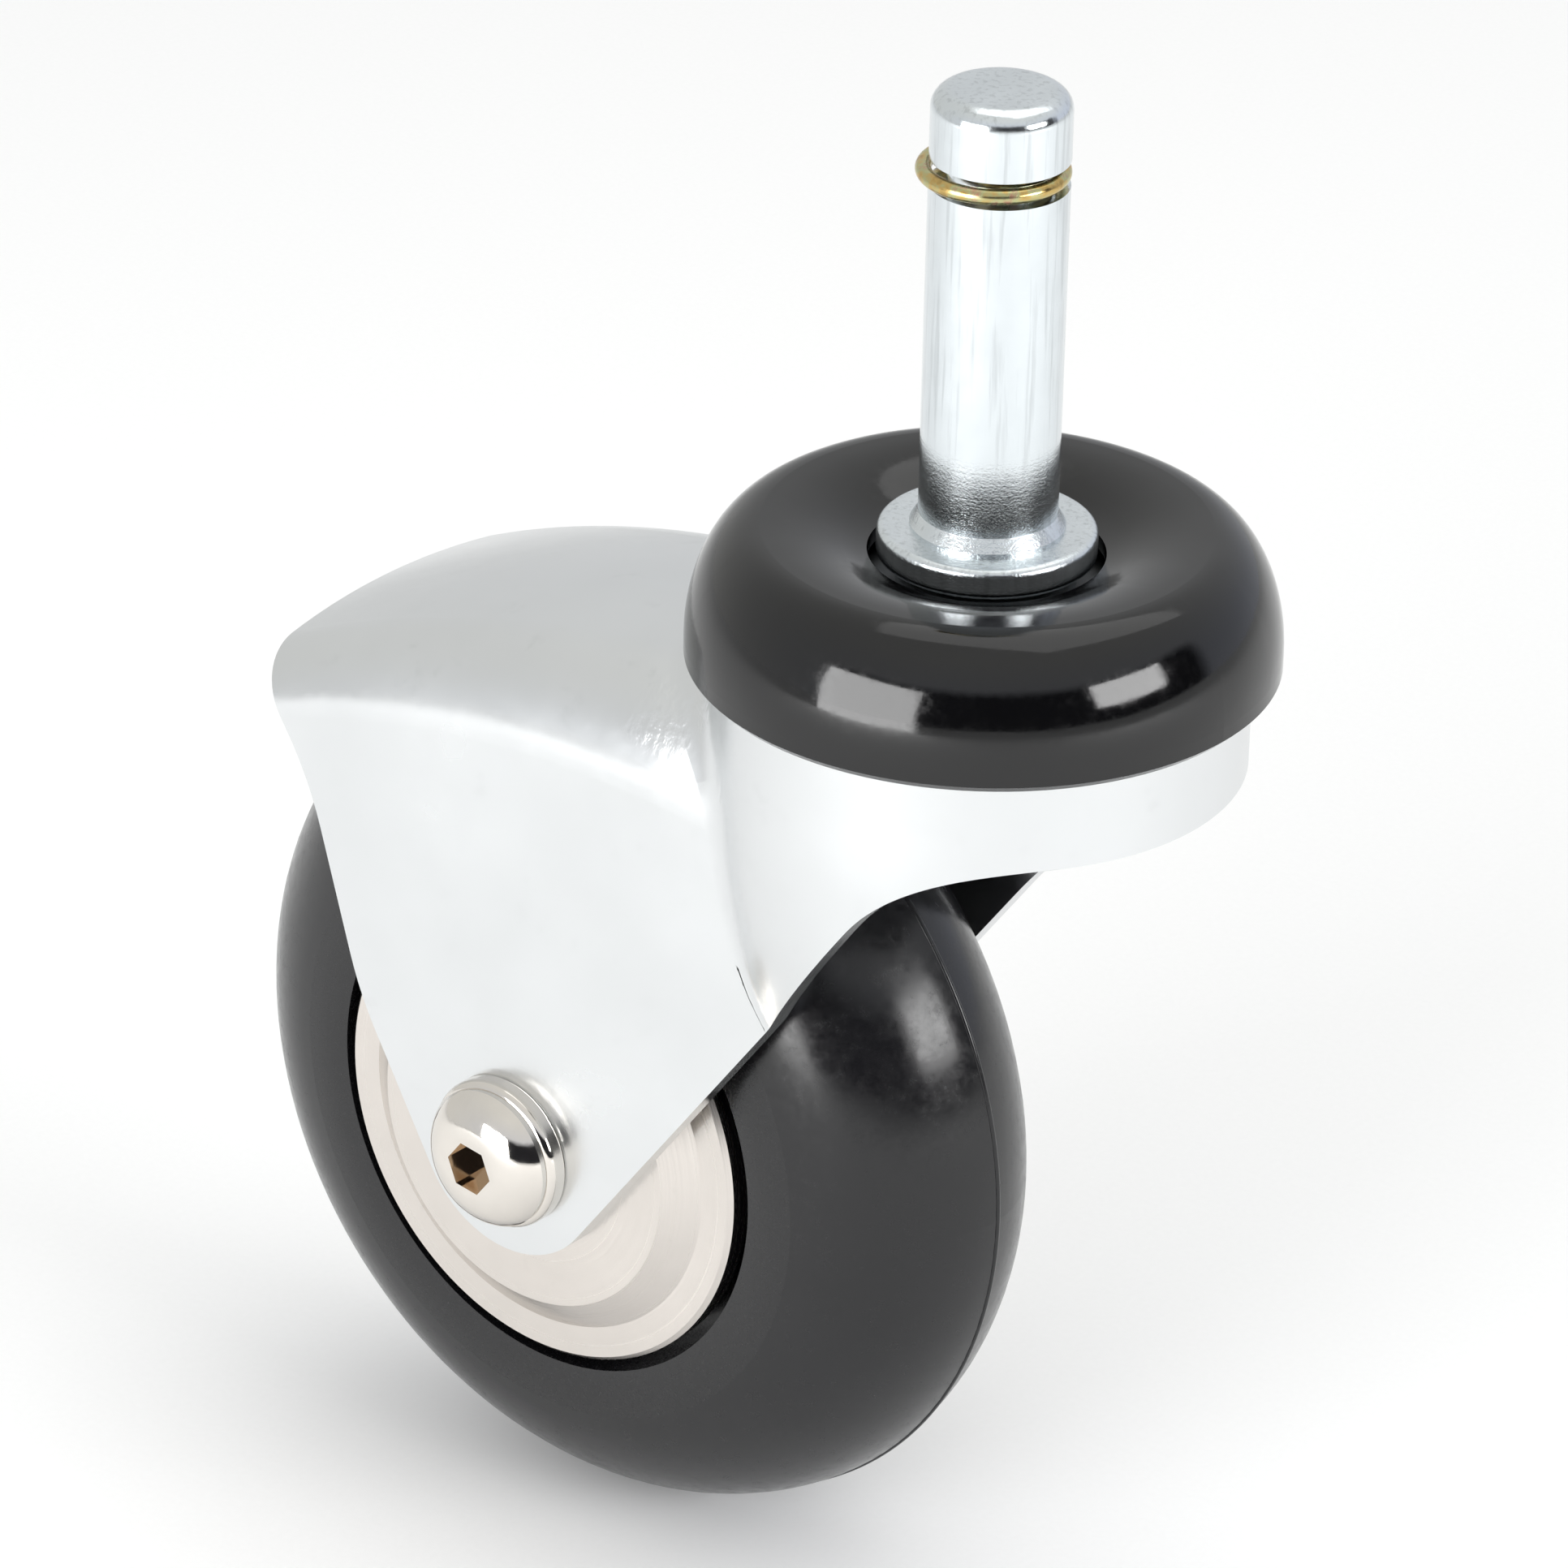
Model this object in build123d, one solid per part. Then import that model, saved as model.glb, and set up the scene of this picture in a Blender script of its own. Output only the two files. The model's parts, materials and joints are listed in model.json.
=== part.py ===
from build123d import *
import math
import os

# Swivelling chair caster: grip-ring stem, pressed sheet fork, round bumper cover and one 3 in wheel.
# Millimetres. The origin is on the swivel axis, at the face of the stem's collar that the chair
# leg rests on. +Z runs up the stem, the wheel trails towards -X and turns about an axle along Y.

# ---- Stem ----
STEM_DIA = 11.1125  # 7/16 in
STEM_LENGTH = 37.1  # collar face to tip
STEM_TIP_RADIUS = 1.6
GROOVE_FROM_TIP = 5.65
GROOVE_WIDTH = 2.2
GROOVE_DEPTH = 1.4
STEM_ROOT_FLARE = 0.65  # how far the stem's foot spreads into the collar, on each side
STEM_ROOT_HEIGHT = 1.3
STEM_ROOT_EDGE = 0.26  # the foot's upright edge, just above the collar
COLLAR_DIA = 17.6
COLLAR_FLANGE = 2.6
COLLAR_EDGE = 0.6
COLLAR_HUB_DIA = 14.4
COLLAR_DEPTH = 4.8  # face to the upper race
KINGPIN_DIA = 10.0
RIVET_HEAD_DIA = 12.6
RIVET_TIP_DIA = 7.6
RIVET_HEAD_HEIGHT = 2.6

# ---- Grip ring ----
RING_WIRE_DIA = 1.3
RING_PROUD = 0.54  # how far the relaxed ring stands out of the stem, on average
RING_SHIFT = 0.5  # the sprung ring sits a little off the stem's axis
RING_SHIFT_DIRECTION = -141.0  # degrees from +X
RING_GAP_ANGLE = 24.0
RING_GAP_DIRECTION = 130.0

# ---- Swivel bearing ----
BALL_DIA = 3.969  # 5/32 in
BALL_CLEARANCE = 0.05
BALL_SPACING = 0.6  # least play between neighbours in a full row
TRACK_DEPTH = 1.0
UPPER_PITCH_DIA = 29.2
LOWER_PITCH_DIA = 18.4
UPPER_RACE_MARGIN = 2.9  # from the middle of the track to the race's edge
LOWER_RACE_MARGIN = 3.0
RACE_SHEET = 1.5

# ---- Wheel ----
WHEEL_DIA = 76.2  # 3 in
WHEEL_WIDTH = 26.0
CHEEK_OFFSET = 1.3  # each cheek's arc is struck from beyond the middle plane
CHEEK_ROLL = 1.76  # how far the arc runs on, inside the cheek's widest point
TYRE_DEPTH = 11.6  # from the tread to the core's rim
TONGUE_DEPTH = 7.6  # from the tread to the tongue that keys the tyre
TONGUE_WIDTH = 12.0
RECESS_DEPTH = 5.0
RECESS_GAP = 1.2  # round the thread guard
HUB_WALL = 2.6  # round the bearings
BEARING_STOP = 1.2  # height of the shoulder that the bearings seat against

# ---- Wheel bearings, 608 size ----
BEARING_BORE = 8.0
BEARING_DIA = 22.0
BEARING_WIDTH = 7.0
BEARING_SET_BACK = 0.4  # from the wheel's side
BEARING_BALL_DIA = 3.969
BEARING_BALLS = 7
INNER_LAND_DIA = 12.4
OUTER_LAND_DIA = 18.6
CAGE_WALL = 0.9
CAGE_WIDTH = 5.0
SHIELD_THICKNESS = 0.3
SHIELD_INSET = 0.3
SHIELD_GAP = 0.25
SPACER_DIA = 11.4

# ---- Thread guards ----
GUARD_SHEET = 0.8
GUARD_DIA = 41.8
GUARD_RIM_DIA = 35.6  # inner edge of the flat rim
GUARD_DISC_DIA = 30.0  # raised disc that the leg clamps
GUARD_RIM_PROUD = 0.65  # of the wheel's side
GUARD_LIP = 2.2

# ---- Axle ----
TRAIL = 34.45  # from the swivel axis back to the axle
WHEEL_HEADROOM = 24.1  # from the collar's face down to the top of the wheel
AXLE_BOLT_DIA = 6.0
AXLE_CLEARANCE = 0.4  # on the bolt's diameter
BOLT_HEAD_DIA = 12.2
BOLT_HEAD_RIM = 0.5
BOLT_HEAD_HEIGHT = 2.8
BOLT_HEAD_FACE_DIA = 5.4
BOLT_HEAD_DOME = 0.25  # how far the head's round side bulges, as a share of its run
BOLT_POINT = 0.9  # chamfer at the bolt's end
BOLT_END_CLEARANCE = 1.0  # how far the bolt stands out of its nut
SOCKET_FLATS = 4.0
SOCKET_DEPTH = 2.0
SOCKET_TURN = 7.0  # degrees
WASHER_DIA = 13.2
WASHER_THICKNESS = 1.9
WASHER_FACE_RADIUS = 0.8  # rounded edge, on the side away from the leg
WASHER_BACK_RADIUS = 0.3
NUT_FLATS = 10.0
NUT_HEIGHT = 4.6
NUT_CROWN = 0.4  # drop of the chamfered corners
NUT_COLLAR_DIA = 8.9
NUT_COLLAR_HEIGHT = 1.6
NUT_INSERT_DIA = 7.8
NUT_INSERT_HEIGHT = 1.2

# ---- Fork, pressed from one sheet ----
SHEET = 2.0
LEG_GAP = 2.7  # between the wheel's side and a leg
HEAD_DIA = 43.0
HEAD_SHOULDER = 2.5
HEAD_DEPTH = 11.43  # deck to the lower edge of the head's wall
HEAD_TAPER = 25.2  # below that edge, over which the head's round wall runs out into the legs
DECK_HOLE_GAP = 0.8  # round the kingpin
HOOD_APEX_X = -18.0
HOOD_APEX_DROP = 2.8  # below the cover's edge
HOOD_CREST_RADIUS = 105.0  # of the crest, seen from the side
HOOD_CROWN_RADIUS = 75.0  # of the crown, seen from behind
HOOD_LENGTH = 66.0  # from the swivel axis, before the rear edge is trimmed
HOOD_SECTIONS = 4
HOOD_REAR_SHOULDER = 6.0
HOOD_FRONT_SHOULDER = 11.0
VALLEY_RADIUS = 5.0  # between the head and the hood and legs
LEG_TIP_RADIUS = 9.6
REAR_LOWER_ANGLE = 30.5  # each angle is from the vertical
REAR_MIDDLE_ANGLE = 17.2
REAR_UPPER_ANGLE = 34.5
REAR_LOW_BEND = 8.8  # above the axle
REAR_HIGH_BEND = 27.1
REAR_BEND_RADIUS = 30.0
FRONT_EDGE_ANGLE = 36.4
THROAT_RADIUS = 18.0

# ---- Cover ----
COVER_WALL = 2.35
COVER_TOP_WALL = 1.9
COVER_CREST = -0.22
COVER_CORNER_RUN = 5.8  # the rounded corner is a quarter of an ellipse
COVER_CORNER_RISE = 9.8
COVER_EDGE = 0.6  # chamfer round the lower edge
COVER_GRIP = 0.93  # height of the head's wall that the cover grips
COVER_HOLE_GAP = 0.7  # round the collar
COVER_LIP = -2.3
COVER_LIP_WALL = 1.2
COVER_BOWL_MARGIN = 2.2  # from the hole's edge to where the bowl turns
COVER_BOWL_DROP = 0.62  # share of the crest's height that is lost by there

# ---- Worked out from the sizes above ----
ring_mean_dia = STEM_DIA + 2 * RING_PROUD - RING_WIRE_DIA
upper_race_dia = UPPER_PITCH_DIA + 2 * UPPER_RACE_MARGIN
lower_race_dia = LOWER_PITCH_DIA + 2 * LOWER_RACE_MARGIN
plate_gap = BALL_DIA + 2 * BALL_CLEARANCE - 2 * TRACK_DEPTH  # between two plates that hold balls
upper_race_top = -COLLAR_DEPTH
upper_race_face = upper_race_top - RACE_SHEET
deck_top = upper_race_face - plate_gap
deck_bottom = deck_top - SHEET
lower_race_face = deck_bottom - plate_gap
lower_race_bottom = lower_race_face - RACE_SHEET
upper_ball_z = (upper_race_face + deck_top) / 2
lower_ball_z = (deck_bottom + lower_race_face) / 2
axle_x = -TRAIL
axle_z = -(WHEEL_HEADROOM + WHEEL_DIA / 2)
axle_hole_dia = AXLE_BOLT_DIA + AXLE_CLEARANCE
wheel_side = WHEEL_WIDTH / 2
leg_inner = wheel_side + LEG_GAP
leg_outer = leg_inner + SHEET
washer_face = leg_outer + WASHER_THICKNESS
guard_inner = leg_inner - GUARD_SHEET
guard_rim_face = wheel_side + GUARD_RIM_PROUD
recess_dia = GUARD_DIA + 2 * RECESS_GAP
core_dia = WHEEL_DIA - 2 * TYRE_DEPTH
cheek_radius = wheel_side + CHEEK_OFFSET
cheek_centre_radius = WHEEL_DIA / 2 - math.sqrt(cheek_radius**2 - CHEEK_OFFSET**2)
bearing_outer_face = wheel_side - BEARING_SET_BACK
bearing_inner_face = bearing_outer_face - BEARING_WIDTH
bearing_middle = bearing_outer_face - BEARING_WIDTH / 2
bearing_pitch_dia = (INNER_LAND_DIA + OUTER_LAND_DIA) / 2
head_rim = deck_top - HEAD_DEPTH
head_taper_end = head_rim - HEAD_TAPER
cover_bottom = deck_top - HEAD_SHOULDER - COVER_GRIP
hood_apex = cover_bottom - HOOD_APEX_DROP
past_all = 2 * WHEEL_DIA  # a reach that runs past the whole fork

AXLE = Plane(origin=(axle_x, 0, axle_z), x_dir=(1, 0, 0), z_dir=(0, 1, 0))


def turned(points):
    """A solid turned about Z from the closed outline of (radius, height) points."""
    return revolve(Plane.XZ * make_face(Polyline(*points, close=True)), Axis.Z)


def turned_wire(*edges):
    """A solid turned about Z from the edges of a closed outline, drawn as (radius, height)."""
    return revolve(Plane.XZ * make_face(list(edges)), Axis.Z)


def ring(outer, inner, low, high):
    """A plain ring between two diameters and two heights."""
    return turned([(inner / 2, low), (outer / 2, low), (outer / 2, high), (inner / 2, high)])


def disc(dia, low, high):
    """A plain disc on the Z axis."""
    return Pos(0, 0, (low + high) / 2) * Cylinder(dia / 2, high - low)


def on_axle(part):
    """Put a part that was drawn about Z, with the wheel's middle at 0, on the axle."""
    return AXLE * part


def both_sides(part):
    """The part and its twin on the other side of the wheel's middle."""
    return [part, mirror(part, Plane.XY)]


def track_floor(ball_dia):
    """Width of a track's flat floor, from which 45 degree flanks clear the ball."""
    flank_distance = ball_dia / 2 + 1.5 * BALL_CLEARANCE
    return 2 * flank_distance * math.tan(math.pi / 8)


def track(pitch_dia, floor, face, floor_width):
    """The ring that a track takes out of a plate, from its floor's height to its face."""
    flare = abs(face - floor)
    pitch, half = pitch_dia / 2, floor_width / 2
    outline = [
        (pitch - half, floor),
        (pitch + half, floor),
        (pitch + half + flare, face),
        (pitch - half - flare, face),
    ]
    return turned(outline)


def pressed_plate(blank, face, back, pitch_dia):
    """Press a ball track into a plate's face, with the raised bead that it leaves on the back.

    face and back are the plate's two heights. The track sinks from face towards back.
    """
    sink = math.copysign(TRACK_DEPTH, back - face)
    floor_width = track_floor(BALL_DIA)
    bead_width = floor_width + 2 * abs(back - face) * math.tan(math.pi / 8)
    bead = track(pitch_dia, back + sink, back, bead_width)
    return blank + bead - track(pitch_dia, face + sink, face, floor_width)


def ball(dia):
    """A bearing ball, cut to 18 flats so that the many hidden balls stay light."""
    across = dia / math.hypot(1, math.tan(math.pi / 8), math.tan(math.pi / 8))
    cube = Box(across, across, across)
    return cube & Rot(45, 0, 0) * cube & Rot(0, 45, 0) * cube & Rot(0, 0, 45) * cube


def ball_ring(count, pitch_dia, dia):
    """A row of separate balls, evenly spaced around Z."""
    return PolarLocations(pitch_dia / 2, count) * ball(dia)


def full_row(pitch_dia, height):
    """As many swivel balls as a track holds, at the height of their middles."""
    count = math.floor(math.pi * pitch_dia / (BALL_DIA + BALL_SPACING))
    return [Pos(0, 0, height) * one for one in ball_ring(count, pitch_dia, BALL_DIA)]


# ---- Stem and swivel ----


def make_stem():
    """Turned stem with its grip-ring groove, collar and the kingpin that is riveted below."""
    stem_r = STEM_DIA / 2
    groove_r = stem_r - GROOVE_DEPTH
    groove_top = STEM_LENGTH - GROOVE_FROM_TIP
    groove_low = groove_top - GROOVE_WIDTH
    root_r = stem_r + STEM_ROOT_FLARE
    collar_r = COLLAR_DIA / 2
    hub_r = COLLAR_HUB_DIA / 2
    pin_r = KINGPIN_DIA / 2
    rivet_r = RIVET_HEAD_DIA / 2
    rivet_low = lower_race_bottom - RIVET_HEAD_HEIGHT
    corners = [
        ((0, STEM_LENGTH), 0),
        ((stem_r, STEM_LENGTH), STEM_TIP_RADIUS),
        ((stem_r, groove_top), 0),
        ((groove_r, groove_top), 0),
        ((groove_r, groove_low), 0),
        ((stem_r, groove_low), 0),
        ((stem_r, STEM_ROOT_HEIGHT), 0),
        ((root_r, STEM_ROOT_EDGE), 0),
        ((root_r, 0), 0),
        ((collar_r, 0), COLLAR_EDGE),
        ((collar_r, -COLLAR_FLANGE), COLLAR_EDGE),
        ((hub_r, -COLLAR_FLANGE), 0),
        ((hub_r, -COLLAR_DEPTH), 0),
        ((pin_r, -COLLAR_DEPTH), 0),
        ((pin_r, lower_race_bottom), 0),
        ((rivet_r, lower_race_bottom), 0),
        ((RIVET_TIP_DIA / 2, rivet_low), 0),
        ((0, rivet_low), 0),
    ]
    points, radii = zip(*corners)
    outline = FilletPolyline(*points, radius=radii, close=True)
    return revolve(Plane.XZ * make_face(outline), Axis.Z)


def make_grip_ring():
    """Open spring-wire ring, sprung into the stem's groove."""
    height = STEM_LENGTH - GROOVE_FROM_TIP - GROOVE_WIDTH / 2
    section = Plane.XZ * Pos(ring_mean_dia / 2, 0) * Circle(RING_WIRE_DIA / 2)
    wire = revolve(section, Axis.Z, 360 - RING_GAP_ANGLE)
    wire = Rot(0, 0, RING_GAP_DIRECTION + RING_GAP_ANGLE / 2) * wire
    shift = Vector(RING_SHIFT, 0, 0).rotate(Axis.Z, RING_SHIFT_DIRECTION)
    return Pos(shift.X, shift.Y, height) * wire


def make_upper_race():
    """Pressed race clamped under the collar; it doesn't turn with the fork."""
    blank = ring(upper_race_dia, KINGPIN_DIA, upper_race_face, upper_race_top)
    return pressed_plate(blank, upper_race_face, upper_race_top, UPPER_PITCH_DIA)


def make_lower_race():
    """Pressed race that the riveted end of the kingpin holds up against the lower balls."""
    blank = ring(lower_race_dia, KINGPIN_DIA, lower_race_bottom, lower_race_face)
    return pressed_plate(blank, lower_race_face, lower_race_bottom, LOWER_PITCH_DIA)


# ---- Fork ----


def hood_section(x, half_width, crown, shoulder, crown_radius):
    """Cross-section of the hood at x: upright sides, round shoulders and a slightly arched crown."""
    shoulder_y = half_width - shoulder
    crown_centre = crown - crown_radius
    rise = math.sqrt((crown_radius - shoulder) ** 2 - shoulder_y**2)
    shoulder_z = crown_centre + rise
    grow = crown_radius / (crown_radius - shoulder)
    edge_y, edge_z = shoulder_y * grow, crown_centre + rise * grow
    middle = math.atan2(rise, shoulder_y) / 2
    bend_y = shoulder_y + shoulder * math.cos(middle)
    bend_z = shoulder_z + shoulder * math.sin(middle)
    outline = [
        Line((-half_width, -past_all), (half_width, -past_all)),
        Line((half_width, -past_all), (half_width, shoulder_z)),
        ThreePointArc((half_width, shoulder_z), (bend_y, bend_z), (edge_y, edge_z)),
        ThreePointArc((edge_y, edge_z), (0, crown), (-edge_y, edge_z)),
        ThreePointArc((-edge_y, edge_z), (-bend_y, bend_z), (-half_width, shoulder_z)),
        Line((-half_width, shoulder_z), (-half_width, -past_all)),
    ]
    return Plane(origin=(x, 0, 0), x_dir=(0, 1, 0), z_dir=(1, 0, 0)) * make_face(outline)


def hood_form(inset):
    """The hood and legs, drawn in by inset from the outer skin: a loft along the arched crest."""
    crest_radius = HOOD_CREST_RADIUS - inset
    crest_centre = hood_apex - HOOD_CREST_RADIUS
    sections = []
    for step in range(HOOD_SECTIONS):
        forward = step / (HOOD_SECTIONS - 1)
        x = HOOD_LENGTH * (forward - 1)
        crown = crest_centre + math.sqrt(crest_radius**2 - (x - HOOD_APEX_X) ** 2)
        shoulder = HOOD_REAR_SHOULDER + forward * (HOOD_FRONT_SHOULDER - HOOD_REAR_SHOULDER)
        sections.append(
            hood_section(
                x,
                leg_outer - inset,
                crown,
                shoulder - inset,
                HOOD_CROWN_RADIUS - inset,
            )
        )
    return loft(sections)


def head_form(inset):
    """The round head: an upright wall that curves in below its rim until it meets the legs."""
    wall = HEAD_DIA / 2 - inset
    taper_r = leg_outer - inset
    taper_radius = (HEAD_TAPER**2 + (wall - taper_r) ** 2) / (2 * (wall - taper_r))
    bend = math.asin(HEAD_TAPER / taper_radius) / 2
    bend_r = wall - taper_radius * (1 - math.cos(bend))
    bend_z = head_rim - taper_radius * math.sin(bend)
    return turned_wire(
        Line((0, 0), (wall, 0)),
        Line((wall, 0), (wall, head_rim)),
        ThreePointArc((wall, head_rim), (bend_r, bend_z), (taper_r, head_taper_end)),
        Line((taper_r, head_taper_end), (0, head_taper_end)),
        Line((0, head_taper_end), (0, 0)),
    )


def below_deck(inset):
    """Everything under the head's deck and, outside the head, under the cover's edge."""
    wall = HEAD_DIA / 2 - inset
    top = deck_top - inset
    seat = cover_bottom - inset
    chamfer = HEAD_SHOULDER - inset / 2
    outline = [
        (0, top),
        (wall - chamfer, top),
        (wall, top - chamfer),
        (wall, seat),
        (past_all, seat),
        (past_all, -past_all),
        (0, -past_all),
    ]
    return turned(outline)


def fork_form(inset):
    """The fork's closed form, drawn in by inset: head and hood run together in soft valleys."""
    head = head_form(inset)
    hood = hood_form(inset)
    form = head + hood
    meetings = new_edges(head, hood, combined=form)
    valleys = meetings.filter_by(lambda edge: edge.center().X < -SHEET)
    form = fillet(valleys, VALLEY_RADIUS + inset)
    return form & below_deck(inset)


def up_slope(start, height, angle):
    """The point at a height on a line that climbs from start and leans back by angle."""
    return (start[0] - (height - start[1]) * math.tan(math.radians(angle)), height)


def leg_tip(angle, side):
    """The point of the leg's round tip where an edge that leans by angle leaves it."""
    lean = math.radians(angle)
    across = side * LEG_TIP_RADIUS * math.cos(lean)
    return (axle_x + across, axle_z - LEG_TIP_RADIUS * math.sin(lean))


def fork_outline():
    """Side outline of the legs and hood, as a block right across the fork."""
    rear_low = leg_tip(REAR_LOWER_ANGLE, -1)
    front_low = leg_tip(FRONT_EDGE_ANGLE, 1)
    low_bend = up_slope(rear_low, axle_z + REAR_LOW_BEND, REAR_LOWER_ANGLE)
    high_bend = up_slope(low_bend, axle_z + REAR_HIGH_BEND, REAR_MIDDLE_ANGLE)
    outline = FilletPolyline(
        rear_low,
        low_bend,
        high_bend,
        up_slope(high_bend, 0, REAR_UPPER_ANGLE),
        (HEAD_DIA, 0),
        (HEAD_DIA, head_rim),
        up_slope(front_low, head_rim, -FRONT_EDGE_ANGLE),
        front_low,
        radius=[REAR_BEND_RADIUS, REAR_BEND_RADIUS, 0, 0, 0, THROAT_RADIUS],
    )
    tip = ThreePointArc(rear_low, (axle_x, axle_z - LEG_TIP_RADIUS), front_low)
    side = make_face(list(outline.edges()) + [tip])
    return extrude(Plane.XZ * side, leg_outer, both=True)


def make_fork():
    """Sheet fork: outer form less inner form, trimmed to its side outline and pierced."""
    sheet = fork_form(0) - fork_form(SHEET)
    sheet &= fork_outline()
    sheet -= disc(KINGPIN_DIA + 2 * DECK_HOLE_GAP, deck_bottom - SHEET, deck_top + SHEET)
    sheet = pressed_plate(sheet, deck_top, deck_bottom, UPPER_PITCH_DIA)
    sheet = pressed_plate(sheet, deck_bottom, deck_top, LOWER_PITCH_DIA)
    return sheet - on_axle(disc(axle_hole_dia, -past_all, past_all))


def make_swivel_cover():
    """Moulded ring bumper that snaps over the head and hides the swivel bearing."""
    skirt = HEAD_DIA / 2
    r = skirt + COVER_WALL
    crest_r, corner_z = r - COVER_CORNER_RUN, COVER_CREST - COVER_CORNER_RISE
    under_rise = COVER_CORNER_RISE - COVER_TOP_WALL
    edge = COVER_EDGE
    hole = COLLAR_DIA / 2 + COVER_HOLE_GAP
    bowl = hole + COVER_BOWL_MARGIN
    lip_low = COVER_LIP - COVER_LIP_WALL
    crest = (crest_r, COVER_CREST)
    bowl_edge = (bowl, COVER_CREST - COVER_BOWL_DROP * (COVER_CREST - COVER_LIP))
    dip = TangentArc(crest, bowl_edge, tangent=(-1, 0))
    settle = TangentArc(bowl_edge, (hole, COVER_LIP), tangent=dip % 1)
    centre = (crest_r, corner_z)
    return turned_wire(
        Line((skirt, cover_bottom), (r - edge, cover_bottom)),
        Line((r - edge, cover_bottom), (r, cover_bottom + edge)),
        Line((r, cover_bottom + edge), (r, corner_z)),
        EllipticalCenterArc(centre, COVER_CORNER_RUN, COVER_CORNER_RISE),
        dip,
        settle,
        Line((hole, COVER_LIP), (hole, lip_low)),
        Line((hole, lip_low), (bowl, lip_low)),
        Line((bowl, lip_low), (crest_r, corner_z + under_rise)),
        EllipticalCenterArc(centre, skirt - crest_r, under_rise),
        Line((skirt, corner_z), (skirt, cover_bottom)),
    )


# ---- Axle, drawn about Z with the wheel's middle at 0; the bolt head is at -Z ----


def make_axle_bolt():
    """Low domed socket screw that clamps the legs, guards and sleeve together."""
    head_r = BOLT_HEAD_DIA / 2
    face_r = BOLT_HEAD_FACE_DIA / 2
    shank_r = AXLE_BOLT_DIA / 2
    seat = -washer_face
    rim = seat - BOLT_HEAD_RIM
    top = seat - BOLT_HEAD_HEIGHT
    end = washer_face + NUT_HEIGHT + NUT_COLLAR_HEIGHT + BOLT_END_CLEARANCE
    half_run, half_rise = (head_r - face_r) / 2, (rim - top) / 2
    bulge = BOLT_HEAD_DOME * math.hypot(half_run, half_rise)
    slant = math.atan2(half_rise, half_run)
    dome = ThreePointArc(
        (head_r, rim),
        (
            face_r + half_run + bulge * math.sin(slant),
            top + half_rise - bulge * math.cos(slant),
        ),
        (face_r, top),
    )
    bolt = turned_wire(
        Line((0, end), (shank_r - BOLT_POINT, end)),
        Line((shank_r - BOLT_POINT, end), (shank_r, end - BOLT_POINT)),
        Line((shank_r, end - BOLT_POINT), (shank_r, seat)),
        Line((shank_r, seat), (head_r, seat)),
        Line((head_r, seat), (head_r, rim)),
        dome,
        Line((face_r, top), (0, top)),
        Line((0, top), (0, end)),
    )
    hexagon = Rot(0, 0, SOCKET_TURN) * RegularPolygon(SOCKET_FLATS / 2, 6, major_radius=False)
    return bolt - Pos(0, 0, top) * extrude(hexagon, SOCKET_DEPTH)


def make_axle_nut():
    """Hexagon lock nut with the round collar that holds its nylon insert."""
    hexagon = extrude(RegularPolygon(NUT_FLATS / 2, 6, major_radius=False), NUT_HEIGHT)
    corner_r = NUT_FLATS / math.sqrt(3)
    outline = [
        (0, 0),
        (corner_r, 0),
        (corner_r, NUT_HEIGHT - NUT_CROWN),
        (NUT_FLATS / 2, NUT_HEIGHT),
        (0, NUT_HEIGHT),
    ]
    nut = (hexagon & turned(outline)) + disc(
        NUT_COLLAR_DIA, NUT_HEIGHT, NUT_HEIGHT + NUT_COLLAR_HEIGHT
    )
    top = NUT_HEIGHT + NUT_COLLAR_HEIGHT
    nut -= disc(AXLE_BOLT_DIA, 0, top)
    nut -= disc(NUT_INSERT_DIA, NUT_HEIGHT, top)
    return Pos(0, 0, washer_face) * nut


def make_nut_insert():
    """Nylon ring in the lock nut's collar."""
    low = washer_face + NUT_HEIGHT
    return ring(NUT_INSERT_DIA, AXLE_BOLT_DIA, low, low + NUT_INSERT_HEIGHT)


def make_axle_washers():
    """One washer under the bolt head and one under the nut."""
    hole_r, washer_r = axle_hole_dia / 2, WASHER_DIA / 2
    outline = FilletPolyline(
        (hole_r, leg_outer),
        (washer_r, leg_outer),
        (washer_r, washer_face),
        (hole_r, washer_face),
        radius=[0, WASHER_BACK_RADIUS, WASHER_FACE_RADIUS, 0],
        close=True,
    )
    return both_sides(revolve(Plane.XZ * make_face(outline), Axis.Z))


def make_axle_sleeve():
    """Spanner sleeve that the legs clamp, thicker between the bearings to hold them apart."""
    outline = [
        (axle_hole_dia / 2, -guard_inner),
        (BEARING_BORE / 2, -guard_inner),
        (BEARING_BORE / 2, -bearing_inner_face),
        (SPACER_DIA / 2, -bearing_inner_face),
        (SPACER_DIA / 2, bearing_inner_face),
        (BEARING_BORE / 2, bearing_inner_face),
        (BEARING_BORE / 2, guard_inner),
        (axle_hole_dia / 2, guard_inner),
    ]
    return turned(outline)


def make_spacer_rings():
    """Rings between each bearing's inner ring and its thread guard."""
    return both_sides(ring(SPACER_DIA, BEARING_BORE, bearing_outer_face, guard_inner))


def make_thread_guard():
    """Pressed cap on the +Z side: a disc against the leg, a bevelled step, a flat rim and a lip."""
    t = GUARD_SHEET
    rim_r, step_r, disc_r = GUARD_DIA / 2, GUARD_RIM_DIA / 2, GUARD_DISC_DIA / 2
    slant = math.atan2(leg_inner - guard_rim_face, step_r - disc_r)
    back = t * math.tan(slant / 2)
    outline = [
        (axle_hole_dia / 2, leg_inner),
        (disc_r, leg_inner),
        (step_r, guard_rim_face),
        (rim_r - t / 2, guard_rim_face),
        (rim_r, guard_rim_face - t / 2),
        (rim_r, guard_rim_face - GUARD_LIP),
        (rim_r - t, guard_rim_face - GUARD_LIP),
        (rim_r - t, guard_rim_face - t),
        (step_r - back, guard_rim_face - t),
        (disc_r - back, guard_inner),
        (axle_hole_dia / 2, guard_inner),
    ]
    return turned(outline)


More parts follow.
